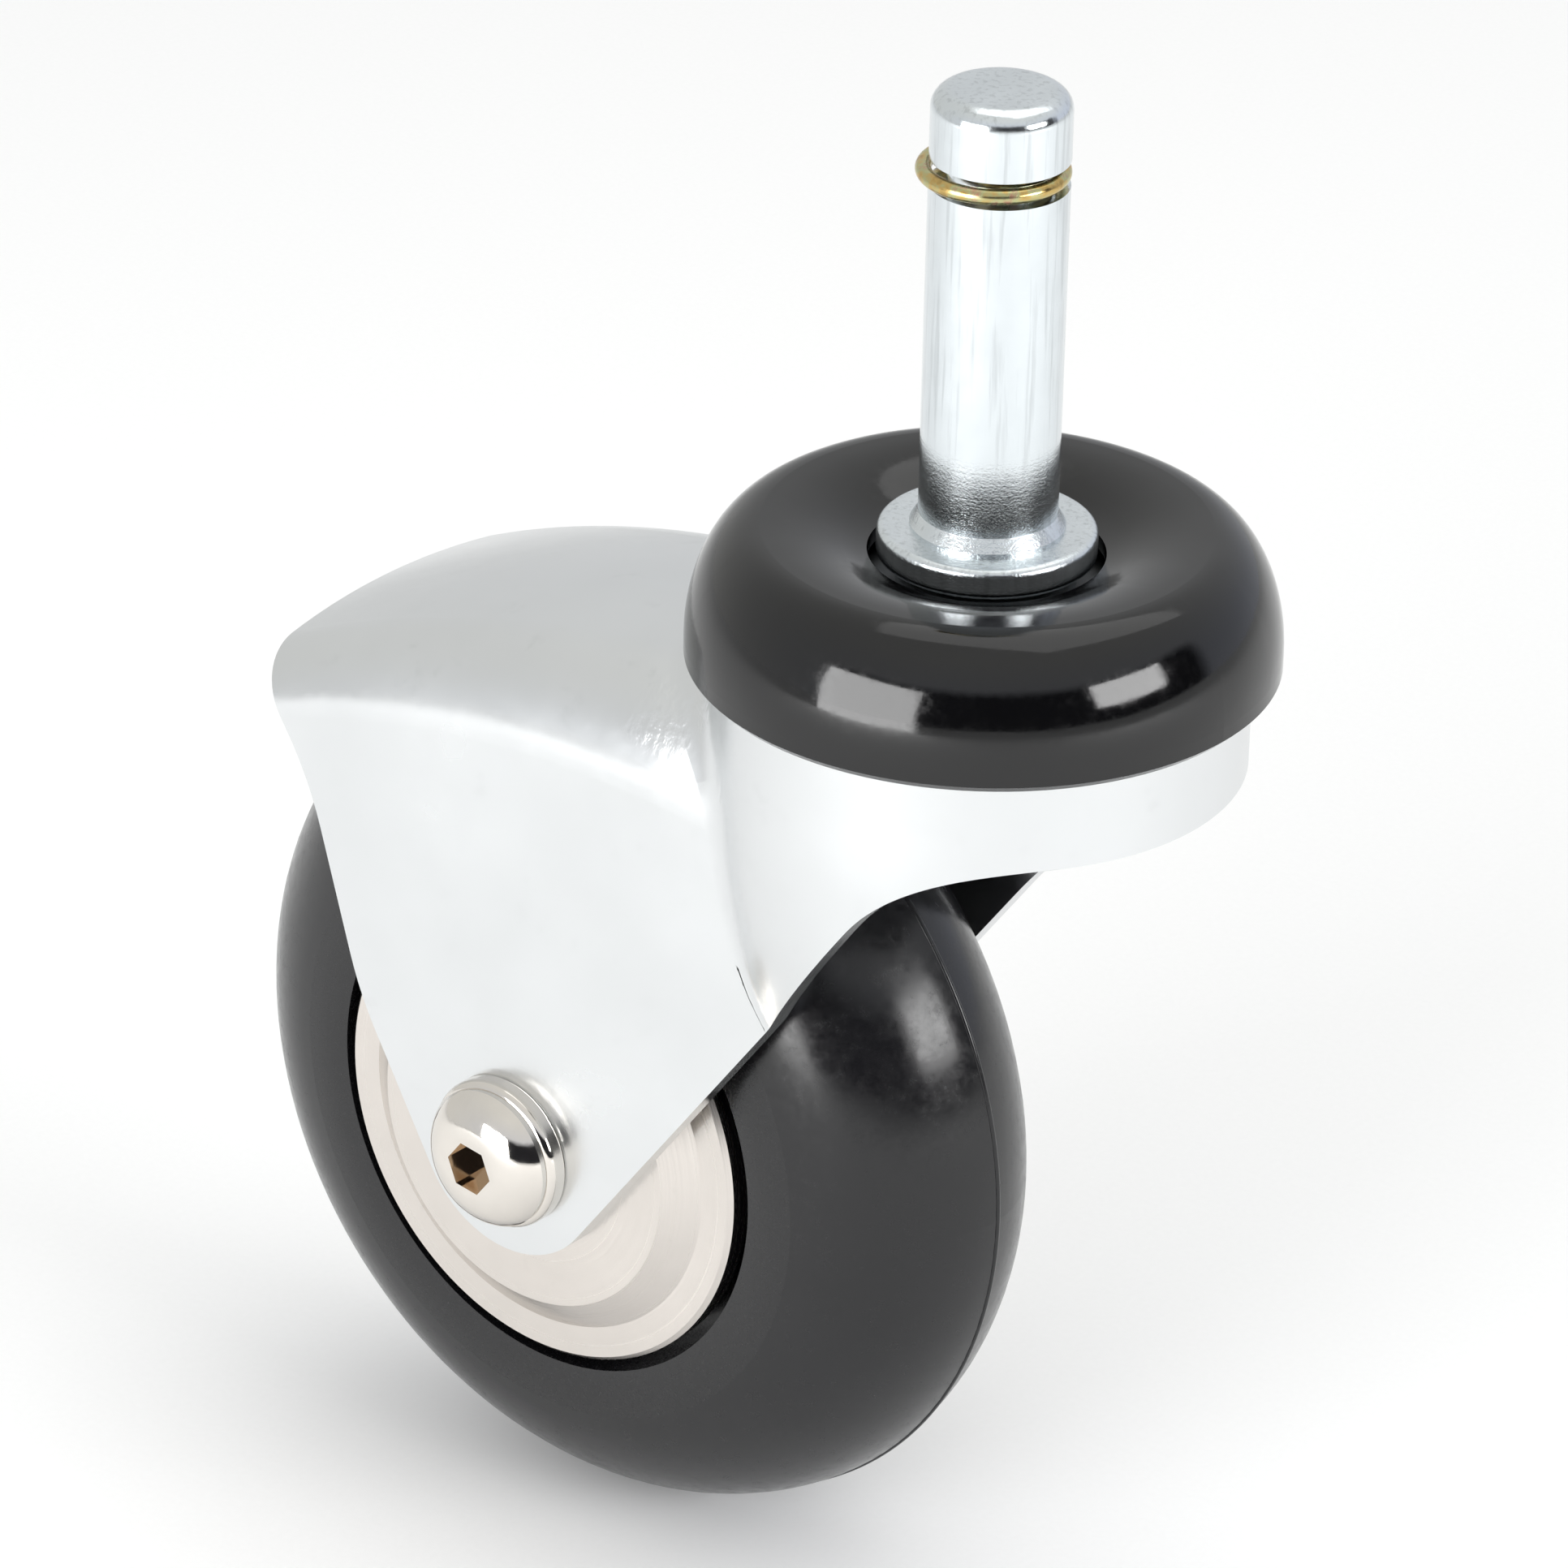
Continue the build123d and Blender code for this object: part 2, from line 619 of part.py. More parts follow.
# ---- Wheel bearings, drawn about Z with the bearing's middle at 0 ----


def bearing_ring(wall, land):
    """Bearing ring from its plain wall to its land, with the ball track sunk into the land."""
    half = BEARING_WIDTH / 2
    side = math.copysign(1, wall - land)
    floor = bearing_pitch_dia / 2 + side * (BEARING_BALL_DIA / 2 + BALL_CLEARANCE)
    floor_half = track_floor(BEARING_BALL_DIA) / 2
    flare = abs(floor - land / 2)
    outline = [
        (wall / 2, -half),
        (land / 2, -half),
        (land / 2, -floor_half - flare),
        (floor, -floor_half),
        (floor, floor_half),
        (land / 2, floor_half + flare),
        (land / 2, half),
        (wall / 2, half),
    ]
    return turned(outline)


def make_inner_ring():
    """Bearing inner ring, on the sleeve."""
    return bearing_ring(BEARING_BORE, INNER_LAND_DIA)


def make_outer_ring():
    """Bearing outer ring, in the wheel's hub."""
    return bearing_ring(BEARING_DIA, OUTER_LAND_DIA)


def make_cage():
    """Ring cage with one window for each ball."""
    pitch = bearing_pitch_dia
    cage = ring(pitch + CAGE_WALL, pitch - CAGE_WALL, -CAGE_WIDTH / 2, CAGE_WIDTH / 2)
    window = Box(3 * CAGE_WALL, BEARING_BALL_DIA, BEARING_BALL_DIA)
    return cage - [spot * window for spot in PolarLocations(pitch / 2, BEARING_BALLS)]


def make_shields():
    """The bearing's two thin side shields, held in the outer ring."""
    high = BEARING_WIDTH / 2 - SHIELD_INSET
    shield = ring(
        OUTER_LAND_DIA, INNER_LAND_DIA + 2 * SHIELD_GAP, high - SHIELD_THICKNESS, high
    )
    return both_sides(shield)


BEARING_PIECES = {
    "inner_ring": make_inner_ring,
    "outer_ring": make_outer_ring,
    "balls": lambda: ball_ring(BEARING_BALLS, bearing_pitch_dia, BEARING_BALL_DIA),
    "cage": make_cage,
    "shields": make_shields,
}


# ---- Wheel, drawn about Z with its middle at 0 ----


def cheek_height(radius):
    """Half the wheel's width at a radius on its rounded cheek."""
    run = radius - cheek_centre_radius
    return math.sqrt(cheek_radius**2 - run**2) - CHEEK_OFFSET


def wheel_form():
    """The whole wheel's rounded form: two cheeks that meet in the tread's moulding line."""
    crown, waist = WHEEL_DIA / 2, cheek_centre_radius - CHEEK_ROLL
    middle = (crown + cheek_centre_radius) / 2
    high, bend = cheek_height(waist), cheek_height(middle)
    return turned_wire(
        ThreePointArc((crown, 0), (middle, bend), (waist, high)),
        Line((waist, high), (0, high)),
        Line((0, high), (0, -high)),
        Line((0, -high), (waist, -high)),
        ThreePointArc((waist, -high), (middle, -bend), (crown, 0)),
    )


def core_limit():
    """Outside of the core: the rim under the tyre and the tongue that keys into it."""
    core_r, tongue_r, half = core_dia / 2, WHEEL_DIA / 2 - TONGUE_DEPTH, TONGUE_WIDTH / 2
    outline = [
        (0, -WHEEL_WIDTH),
        (core_r, -WHEEL_WIDTH),
        (core_r, -half),
        (tongue_r, -half),
        (tongue_r, half),
        (core_r, half),
        (core_r, WHEEL_WIDTH),
        (0, WHEEL_WIDTH),
    ]
    return turned(outline)


def make_tyre():
    """Moulded tyre around the core's rim and tongue."""
    return wheel_form() - core_limit()


def make_wheel_core():
    """Moulded core: hub with two bearing seats, web, and the rim that carries the tyre."""
    hub_dia = BEARING_DIA + 2 * HUB_WALL
    core = wheel_form() & core_limit()
    recess = ring(recess_dia, hub_dia, wheel_side - RECESS_DEPTH, WHEEL_WIDTH)
    above_hub = disc(hub_dia, bearing_outer_face, WHEEL_WIDTH)
    seat = disc(BEARING_DIA, bearing_inner_face, bearing_outer_face)
    for cut in (recess, above_hub, seat):
        for side in both_sides(cut):
            core -= side
    return core - disc(BEARING_DIA - 2 * BEARING_STOP, -WHEEL_WIDTH, WHEEL_WIDTH)


# ---- Assembly ----


def make_pieces():
    """Every piece of the caster, by name, in its place."""
    guard = make_thread_guard()
    pieces = {
        "stem": make_stem(),
        "grip_ring": make_grip_ring(),
        "upper_race": make_upper_race(),
        "lower_race": make_lower_race(),
        "upper_balls": full_row(UPPER_PITCH_DIA, upper_ball_z),
        "lower_balls": full_row(LOWER_PITCH_DIA, lower_ball_z),
        "fork": make_fork(),
        "swivel_cover": make_swivel_cover(),
        "axle_bolt": on_axle(make_axle_bolt()),
        "axle_nut": on_axle(make_axle_nut()),
        "nut_insert": on_axle(make_nut_insert()),
        "axle_washers": [on_axle(one) for one in make_axle_washers()],
        "axle_sleeve": on_axle(make_axle_sleeve()),
        "spacer_rings": [on_axle(one) for one in make_spacer_rings()],
        "thread_guard_left": on_axle(guard),
        "thread_guard_right": on_axle(mirror(guard, Plane.XY)),
        "wheel_core": on_axle(make_wheel_core()),
        "tyre": on_axle(make_tyre()),
    }
    for side, middle in (("left", bearing_middle), ("right", -bearing_middle)):
        for name, make in BEARING_PIECES.items():
            made = make()
            group = made if isinstance(made, list) else [made]
            placed = [on_axle(Pos(0, 0, middle) * one) for one in group]
            pieces[f"bearing_{side}_{name}"] = placed
    return pieces


def write_pieces():
    """Write one STEP file for each piece or group of like pieces."""
    os.makedirs("parts", exist_ok=True)
    for name, made in make_pieces().items():
        group = made if isinstance(made, list) else [made]
        solids = [solid for one in group for solid in one.solids()]
        shape = solids[0] if len(solids) == 1 else Compound(children=solids)
        shape.label = name
        export_step(shape, f"parts/{name}.step")


write_pieces()
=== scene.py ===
"""Swivelling chair caster: its finishes, fine pieces and studio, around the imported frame."""

import json
import math

import bmesh
import bpy
from bpy.props import FloatProperty, FloatVectorProperty, PointerProperty
from bpy.types import Operator, Panel, PropertyGroup
from mathutils import Matrix, Vector


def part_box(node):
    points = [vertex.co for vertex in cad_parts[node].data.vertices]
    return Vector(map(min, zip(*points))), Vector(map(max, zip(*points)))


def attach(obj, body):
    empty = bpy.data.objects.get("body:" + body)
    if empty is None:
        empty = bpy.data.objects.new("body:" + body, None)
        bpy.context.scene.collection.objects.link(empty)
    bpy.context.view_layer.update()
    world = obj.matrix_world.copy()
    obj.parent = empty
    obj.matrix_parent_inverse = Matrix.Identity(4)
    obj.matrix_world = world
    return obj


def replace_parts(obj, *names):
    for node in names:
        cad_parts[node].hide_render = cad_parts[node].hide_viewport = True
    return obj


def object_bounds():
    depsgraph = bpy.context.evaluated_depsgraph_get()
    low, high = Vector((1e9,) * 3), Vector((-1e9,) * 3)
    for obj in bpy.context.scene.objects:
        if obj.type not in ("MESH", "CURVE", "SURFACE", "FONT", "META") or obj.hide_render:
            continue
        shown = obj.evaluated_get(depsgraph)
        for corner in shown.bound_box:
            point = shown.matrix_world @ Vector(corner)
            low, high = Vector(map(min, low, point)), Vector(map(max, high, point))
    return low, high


bl_info = {
    "name": "Chair Caster",
    "version": (1, 0, 0),
    "blender": (4, 5, 0),
    "location": "View3D > Sidebar > Caster",
    "description": "Finishes, fine pieces and a soft studio for a swivelling chair caster",
    "category": "Object",
}

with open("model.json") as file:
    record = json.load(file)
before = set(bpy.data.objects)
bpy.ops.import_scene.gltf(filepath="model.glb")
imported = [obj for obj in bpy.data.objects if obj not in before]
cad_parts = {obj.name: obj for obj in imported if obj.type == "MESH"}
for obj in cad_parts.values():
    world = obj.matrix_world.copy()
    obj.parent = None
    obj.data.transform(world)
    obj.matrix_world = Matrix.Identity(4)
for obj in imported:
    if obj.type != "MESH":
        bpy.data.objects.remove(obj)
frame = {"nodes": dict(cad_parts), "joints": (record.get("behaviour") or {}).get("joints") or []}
cad_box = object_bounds()

MM = 0.001
AXLE = Vector(next(j for j in frame["joints"] if j["name"] == "wheel_spin")["pos_m"])
SOCKET_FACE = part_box("axle_bolt")[0][1] / MM  # the flat ring round the hexagon socket
SOCKET_REACH = 2.5  # from the screw's middle to the corners of the socket
DRAWN_SPOT = (-20.0, -16.5, -16.0)  # where the sheet is drawn hardest, beside the cover

# The fork's head, in millimetres: its sheet, deck, wall and the bends that join it to the legs
HEAD_RADIUS, LEG_OUTER = (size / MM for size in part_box("fork")[1][:2])
SHEET = 2.0
DECK_TOP = -8.369
HEAD_CHAMFER = 2.53
HEAD_SHOULDER_Z = DECK_TOP - HEAD_CHAMFER
INNER_SHOULDER_Z = HEAD_SHOULDER_Z - SHEET / 2
HEAD_SKIRT = 8.9  # straight wall below the shoulder
HEAD_TAPER_RADIUS = 85.46
BULGE_LOW = -41.2  # just below where the wall runs out against the leg
WALL_ROWS = 110
VALLEY_RADIUS = 5.0
SHOULDER_START, SHOULDER_ROUND = -24.5, 8.5
FRONT_ANGLE = math.radians(36.4)
LEG_TIP_RADIUS = 9.6
EDGE_X = AXLE.x / MM + LEG_TIP_RADIUS * math.cos(FRONT_ANGLE)
EDGE_Z = AXLE.z / MM - LEG_TIP_RADIUS * math.sin(FRONT_ANGLE)
THROAT_RADIUS = 18.0
THROAT_X, THROAT_Z = 17.83, -37.8
THROAT_END_Z = -27.12

ROOM_AZIMUTH = math.radians(-35.0)  # middle of the dim side of the studio
ROOM_EDGE = math.cos(math.radians(76.0))  # half its width
ROOM_TOP = math.sin(math.radians(22.0))  # its height


# ---- Node and colour helpers ----


def linear(hex_colour):
    """Linear RGBA of an sRGB hex colour."""
    channels = [int(hex_colour[i : i + 2], 16) / 255 for i in (1, 3, 5)]
    return [c / 12.92 if c <= 0.04045 else ((c + 0.055) / 1.055) ** 2.4 for c in channels] + [1.0]


def add(tree, kind, inputs=None, **settings):
    """A new node with its settings; inputs holds a value or an output to link for each socket."""
    node = tree.nodes.new(f"ShaderNode{kind}")
    for name, value in settings.items():
        setattr(node, name, value)
    for key, value in (inputs or {}).items():
        socket = node.inputs[key]
        if isinstance(value, bpy.types.NodeSocket):
            tree.links.new(value, socket)
        else:
            socket.default_value = value
    return node


def finish(name, **constants):
    """A material with its shader's own sockets set. Returns the material, its tree and shader."""
    material = bpy.data.materials.new(name)
    material.use_nodes = True
    tree = material.node_tree
    shader = tree.nodes["Principled BSDF"]
    for socket, value in constants.items():
        shader.inputs[socket.replace("_", " ")].default_value = value
    return material, tree, shader


def place(tree, centre=(0, 0, 0)):
    """Coordinates fixed to the piece, measured in millimetres from a centre."""
    coords = add(tree, "TexCoord").outputs["Object"]
    shift = [-c / MM for c in centre]
    return add(
        tree, "Mapping", {"Vector": coords, "Location": shift, "Scale": (1 / MM,) * 3}
    ).outputs["Vector"]


def stretch(tree, where, along_x=1.0, along_y=1.0, along_z=1.0):
    """The same place drawn out, so that a pattern grows that many times longer along each axis."""
    size = (1 / along_x, 1 / along_y, 1 / along_z)
    return add(tree, "Mapping", {"Vector": where, "Scale": size}).outputs["Vector"]


def near(tree, where, spot, reach):
    """One at a spot given in millimetres, falling to nothing at reach."""
    gap = add(tree, "VectorMath", {0: where, 1: spot}, operation="DISTANCE").outputs["Value"]
    return ramp(tree, gap, 0.0, reach, 1.0, 0.0)


def times(tree, first, second):
    """The product of two numbers."""
    return add(tree, "Math", {0: first, 1: second}, operation="MULTIPLY").outputs["Value"]


def noise(tree, where, size, detail=3.0, roughness=0.55):
    """Even noise whose patches are about size millimetres across."""
    return add(
        tree,
        "TexNoise",
        {"Vector": where, "Scale": 1 / size, "Detail": detail, "Roughness": roughness},
    ).outputs["Fac"]


def ramp(tree, factor, low, high, to_low, to_high):
    """A number that runs from to_low to to_high as factor runs from low to high."""
    return add(
        tree,
        "MapRange",
        {"Value": factor, "From Min": low, "From Max": high, "To Min": to_low, "To Max": to_high},
    ).outputs["Result"]


def blend_colours(tree, factor, first, second):
    """A mix of two linear colours, given or linked."""
    mix = add(tree, "Mix", {"Factor": factor}, data_type="RGBA")
    for socket, colour in zip(mix.inputs[6:8], (first, second)):  # its two colour sockets
        if isinstance(colour, bpy.types.NodeSocket):
            tree.links.new(colour, socket)
        else:
            socket.default_value = colour
    return mix.outputs[2]


def shade(colour, amount):
    """A lighter or darker version of a linear colour."""
    return [min(1.0, channel * amount) for channel in colour[:3]] + [1.0]


def bump(tree, height, distance, strength=1.0, normal=None):
    """A normal from a height of 0 to 1 that stands distance millimetres."""
    inputs = {"Height": height, "Distance": distance * MM, "Strength": strength}
    if normal:
        inputs["Normal"] = normal
    return add(tree, "Bump", inputs).outputs["Normal"]


def radius_about(tree, where, axis):
    """Distance from the X, Y or Z axis, as an output in millimetres."""
    flat = [0.0 if axis == letter else 1.0 for letter in "XYZ"]
    across = add(tree, "VectorMath", {0: where, 1: flat}, operation="MULTIPLY")
    length = add(tree, "VectorMath", {0: across.outputs["Vector"]}, operation="LENGTH")
    return length.outputs["Value"]


def turning_marks(tree, where, axis, pitch):
    """The fine uneven rings that a turning tool leaves, pitch millimetres apart."""
    radius = radius_about(tree, where, axis)
    along = add(tree, "SeparateXYZ", {"Vector": where}).outputs[axis]
    line = add(tree, "CombineXYZ", {"X": radius, "Y": along})
    return noise(tree, line.outputs["Vector"], pitch, detail=2.0)


# ---- Materials ----


def zinc_plated_steel(colour):
    """Turned steel, bright zinc plated: bluish white, drawn streaks in the bumps with dark painted
    reflection streaks in the colour, turned rings, sparkling foot.
    """
    material, tree, shader = finish("bright_zinc_plated_steel", Metallic=1.0)
    where = place(tree)
    cloud = noise(tree, where, 3.0)
    streaks = noise(tree, stretch(tree, where, along_z=24.0), 0.5, detail=4.0)
    marks = turning_marks(tree, where, "Z", 0.25)
    grain = noise(tree, where, 0.22, detail=3.0, roughness=0.7)
    height = add(tree, "SeparateXYZ", {"Vector": where}).outputs["Z"]
    foot = ramp(tree, height, 1.0, 9.0, 1.0, 0.12)
    plated = blend_colours(tree, cloud, shade(colour, 0.9), shade(colour, 1.06))
    # Painted reflection: dark streaks in the colour along the stem stand in for dark surroundings
    # mirrored in the plating.
    painted_reflection_mask = ramp(tree, streaks, 0.52, 0.66, 0.0, 0.45)
    tint = blend_colours(tree, painted_reflection_mask, plated, shade(colour, 0.62))
    tree.links.new(tint, shader.inputs["Base Color"])
    tree.links.new(ramp(tree, cloud, 0.3, 0.7, 0.1, 0.2), shader.inputs["Roughness"])
    drawn = bump(tree, streaks, 0.03, 0.35)
    turned = bump(tree, marks, 0.012, 0.35, drawn)
    sparkle = times(tree, grain, foot)
    tree.links.new(bump(tree, sparkle, 0.05, 0.7, turned), shader.inputs["Normal"])
    return material


def fastener_zinc(colour):
    """Cold headed steel, bright zinc plated and tumbled: pale, smooth and slightly dulled."""
    material, tree, shader = finish("tumbled_zinc_plated_steel", Metallic=1.0)
    where = place(tree, AXLE)
    cloud = noise(tree, where, 1.8)
    grain = noise(tree, where, 0.25, detail=3.0)
    tint = blend_colours(tree, cloud, shade(colour, 0.86), shade(colour, 1.04))
    tree.links.new(tint, shader.inputs["Base Color"])
    tree.links.new(ramp(tree, cloud, 0.3, 0.7, 0.16, 0.3), shader.inputs["Roughness"])
    tree.links.new(bump(tree, grain, 0.015, 0.5), shader.inputs["Normal"])
    return material


def yellow_zinc_wire(colour):
    """Spring wire, yellow chromated zinc: gold that shifts to green and rose in patches."""
    material, tree, shader = finish("yellow_chromated_spring_wire", Metallic=1.0)
    where = place(tree)
    patches = noise(tree, where, 1.6)
    drawn = noise(tree, where, 0.3)
    colours = add(tree, "ValToRGB", {"Fac": patches})
    stops = [
        (0.3, shade(colour, 0.45)),
        (0.45, shade(colour, 1.0)),
        (0.57, linear("#B7B98A")),
        (0.7, linear("#BC8873")),
    ]
    elements = colours.color_ramp.elements
    while len(elements) < len(stops):
        elements.new(0.5)
    for element, (position, stop) in zip(elements, stops):
        element.position = position
        element.color = stop
    tree.links.new(colours.outputs["Color"], shader.inputs["Base Color"])
    tree.links.new(ramp(tree, patches, 0.3, 0.7, 0.16, 0.3), shader.inputs["Roughness"])
    tree.links.new(bump(tree, drawn, 0.012, 0.4), shader.inputs["Normal"])
    return material


def satin_chrome_plate(colour):
    """Pressed sheet, satin chrome plated: light and soft, faint clouds, wrinkled where drawn."""
    material, tree, shader = finish("satin_chrome_plated_sheet", Metallic=1.0)
    where = place(tree)
    cloud = noise(tree, where, 16.0, detail=4.0)
    blot = noise(tree, where, 3.5, detail=5.0, roughness=0.65)
    grain = noise(tree, where, 0.28, detail=2.0)
    plated = blend_colours(tree, cloud, shade(colour, 0.95), shade(colour, 1.05))
    dulled = ramp(tree, blot, 0.6, 0.75, 0.0, 0.3)
    tint = blend_colours(tree, dulled, plated, shade(colour, 0.8))
    tree.links.new(tint, shader.inputs["Base Color"])
    tree.links.new(ramp(tree, cloud, 0.3, 0.7, 0.2, 0.28), shader.inputs["Roughness"])
    peel = bump(tree, noise(tree, where, 6.0, detail=1.0), 0.12, 0.3)
    satin = bump(tree, grain, 0.006, 0.5, peel)
    folds = noise(tree, stretch(tree, where, along_z=2.5), 0.7, detail=3.0)
    drawn_here = near(tree, where, DRAWN_SPOT, 5.5)
    wrinkle = bump(tree, times(tree, folds, drawn_here), 0.35, 0.8, satin)
    tree.links.new(wrinkle, shader.inputs["Normal"])
    return material


def gloss_black_nylon(colour):
    """Moulded nylon from a polished mould: deep black, sharp gloss, gentle flow waves, rubs."""
    material, tree, shader = finish("gloss_moulded_nylon", IOR=1.52)
    where = place(tree)
    cloud = noise(tree, where, 9.0)
    rub = noise(tree, where, 0.9, detail=5.0, roughness=0.75)
    tint = blend_colours(tree, cloud, shade(colour, 0.8), shade(colour, 1.3))
    tree.links.new(tint, shader.inputs["Base Color"])
    tree.links.new(ramp(tree, rub, 0.45, 0.8, 0.075, 0.2), shader.inputs["Roughness"])
    flow = bump(tree, noise(tree, where, 8.0, detail=1.0), 0.16, 0.35)
    tree.links.new(bump(tree, noise(tree, where, 0.5), 0.004, 0.4, flow), shader.inputs["Normal"])
    return material


def polished_nickel(colour):
    """Polished and nickel plated screw: a warm mirror with the faintest orange peel."""
    material, tree, shader = finish("polished_nickel_plate", Metallic=1.0)
    where = place(tree, AXLE)
    cloud = noise(tree, where, 1.5)
    depth = add(tree, "SeparateXYZ", {"Vector": where}).outputs["Y"]
    inside = times(
        tree,
        ramp(
            tree,
            radius_about(tree, where, "Y"),
            SOCKET_REACH - 0.15,
            SOCKET_REACH + 0.15,
            1.0,
            0.0,
        ),
        ramp(tree, depth, SOCKET_FACE + 0.05, SOCKET_FACE + 0.5, 0.0, 1.0),
    )
    plated = blend_colours(tree, cloud, shade(colour, 0.96), shade(colour, 1.04))
    tint = blend_colours(tree, inside, plated, linear("#CDBBA6"))
    tree.links.new(tint, shader.inputs["Base Color"])
    tree.links.new(ramp(tree, cloud, 0.3, 0.7, 0.05, 0.1), shader.inputs["Roughness"])
    tree.links.new(bump(tree, noise(tree, where, 0.7), 0.008, 0.3), shader.inputs["Normal"])
    return material


def satin_nickel(colour):
    """Pressed, lathe brushed nickel plate: warm grey, fine rings and bright brushed sectors."""
    material, tree, shader = finish("lathe_brushed_nickel_plate", Metallic=1.0, Anisotropic=0.55)
    where = place(tree, AXLE)
    cloud = noise(tree, where, 4.0)
    rings = turning_marks(tree, where, "Y", 0.2)
    blot = noise(tree, where, 1.1, detail=5.0, roughness=0.7)
    plated = blend_colours(tree, cloud, shade(colour, 0.95), shade(colour, 1.04))
    spotted = ramp(tree, blot, 0.62, 0.74, 0.0, 0.3)
    tint = blend_colours(tree, spotted, plated, shade(colour, 0.75))
    tree.links.new(tint, shader.inputs["Base Color"])
    tree.links.new(ramp(tree, rings, 0.3, 0.7, 0.18, 0.3), shader.inputs["Roughness"])
    tree.links.new(bump(tree, rings, 0.01, 0.6), shader.inputs["Normal"])
    round_axle = add(tree, "Tangent", direction_type="RADIAL", axis="Y")
    tree.links.new(round_axle.outputs["Tangent"], shader.inputs["Tangent"])
    return material


def black_tyre_rubber(colour):
    """Moulded polyurethane tyre: near black and satin, slow waves, faint rings and fine scuffs."""
    material, tree, shader = finish("moulded_polyurethane", IOR=1.5)
    where = place(tree, AXLE)
    cloud = noise(tree, where, 11.0, detail=5.0)
    rings = turning_marks(tree, where, "Y", 0.6)
    scuff = noise(tree, where, 1.4, detail=6.0, roughness=0.8)
    tint = blend_colours(tree, cloud, shade(colour, 0.75), shade(colour, 1.3))
    tree.links.new(tint, shader.inputs["Base Color"])
    tree.links.new(ramp(tree, scuff, 0.4, 0.75, 0.17, 0.34), shader.inputs["Roughness"])
    wave = bump(tree, noise(tree, where, 9.0, detail=1.0), 0.14, 0.35)
    tree.links.new(bump(tree, rings, 0.008, 0.4, wave), shader.inputs["Normal"])
    return material


def black_core_nylon(colour):
    """Moulded nylon core: black, a little duller than the tyre, with rings left by the mould."""
    material, tree, shader = finish("moulded_core_nylon", IOR=1.53)
    where = place(tree, AXLE)
    cloud = noise(tree, where, 7.0)
    grain = noise(tree, where, 0.3, detail=4.0)
    rings = turning_marks(tree, where, "Y", 0.5)
    tint = blend_colours(tree, cloud, shade(colour, 0.8), shade(colour, 1.25))
    tree.links.new(tint, shader.inputs["Base Color"])
    tree.links.new(ramp(tree, grain, 0.3, 0.7, 0.2, 0.3), shader.inputs["Roughness"])
    marks = bump(tree, rings, 0.01, 0.4)
    tree.links.new(bump(tree, grain, 0.006, 0.5, marks), shader.inputs["Normal"])
    return material


def ground_bearing_steel(colour):
    """Hardened bearing steel, ground and oiled: bluish grey with fine ground lines."""
    material, tree, shader = finish("ground_bearing_steel", Metallic=1.0)
    where = place(tree, AXLE)
    cloud = noise(tree, where, 2.0)
    rings = turning_marks(tree, where, "Y", 0.12)
    tint = blend_colours(tree, cloud, shade(colour, 0.88), shade(colour, 1.1))
    tree.links.new(tint, shader.inputs["Base Color"])
    tree.links.new(ramp(tree, cloud, 0.3, 0.7, 0.12, 0.22), shader.inputs["Roughness"])
    tree.links.new(bump(tree, rings, 0.005, 0.4), shader.inputs["Normal"])
    return material


def lapped_ball_steel(colour):
    """Lapped bearing balls: mirror bright under a thin film of grease."""
    material, tree, shader = finish("lapped_ball_steel", Metallic=1.0)
    where = place(tree)
    film = noise(tree, where, 1.2, detail=4.0)
    tint = blend_colours(tree, film, shade(colour, 0.92), shade(colour, 1.12))
    tree.links.new(tint, shader.inputs["Base Color"])
    tree.links.new(ramp(tree, film, 0.35, 0.7, 0.05, 0.16), shader.inputs["Roughness"])
    return material


def pressed_race_steel(colour):
    """Pressed and case-hardened race: darker grey, with a dull film of grease."""
    material, tree, shader = finish("case_hardened_steel", Metallic=1.0)
    where = place(tree)
    cloud = noise(tree, where, 3.0)
    tint = blend_colours(tree, cloud, shade(colour, 0.8), shade(colour, 1.15))
    tree.links.new(tint, shader.inputs["Base Color"])
    tree.links.new(ramp(tree, cloud, 0.3, 0.7, 0.28, 0.42), shader.inputs["Roughness"])
    tree.links.new(bump(tree, noise(tree, where, 0.4), 0.01, 0.4), shader.inputs["Normal"])
    return material


def nylon_insert(colour):
    """Turned nylon locking ring: milky and slightly translucent."""
    material, tree, shader = finish("turned_natural_nylon", IOR=1.53, Subsurface_Weight=0.2)
    where = place(tree, AXLE)
    cloud = noise(tree, where, 1.0)
    tint = blend_colours(tree, cloud, shade(colour, 0.88), shade(colour, 1.06))
    tree.links.new(tint, shader.inputs["Base Color"])
    tree.links.new(ramp(tree, cloud, 0.3, 0.7, 0.35, 0.5), shader.inputs["Roughness"])
    return material


def shield_steel(colour):
    """Pressed bearing shield: bright, faintly brushed round the bearing."""
    material, tree, shader = finish("pressed_shield_steel", Metallic=1.0)
    where = place(tree, AXLE)
    rings = turning_marks(tree, where, "Y", 0.15)
    cloud = noise(tree, where, 2.0)
    tint = blend_colours(tree, cloud, shade(colour, 0.92), shade(colour, 1.06))
    tree.links.new(tint, shader.inputs["Base Color"])
    tree.links.new(ramp(tree, cloud, 0.3, 0.7, 0.2, 0.32), shader.inputs["Roughness"])
    tree.links.new(bump(tree, rings, 0.006, 0.5), shader.inputs["Normal"])
    return material


def cage_nylon(colour):
    """Glass filled nylon ball cage: dark green-grey and matt."""
    material, tree, shader = finish("glass_filled_nylon", IOR=1.53)
    where = place(tree, AXLE)
    grain = noise(tree, where, 0.3)
    tint = blend_colours(tree, grain, shade(colour, 0.8), shade(colour, 1.25))
    tree.links.new(tint, shader.inputs["Base Color"])
    tree.links.new(ramp(tree, grain, 0.3, 0.7, 0.45, 0.6), shader.inputs["Roughness"])
    return material


# ---- What a user would change ----


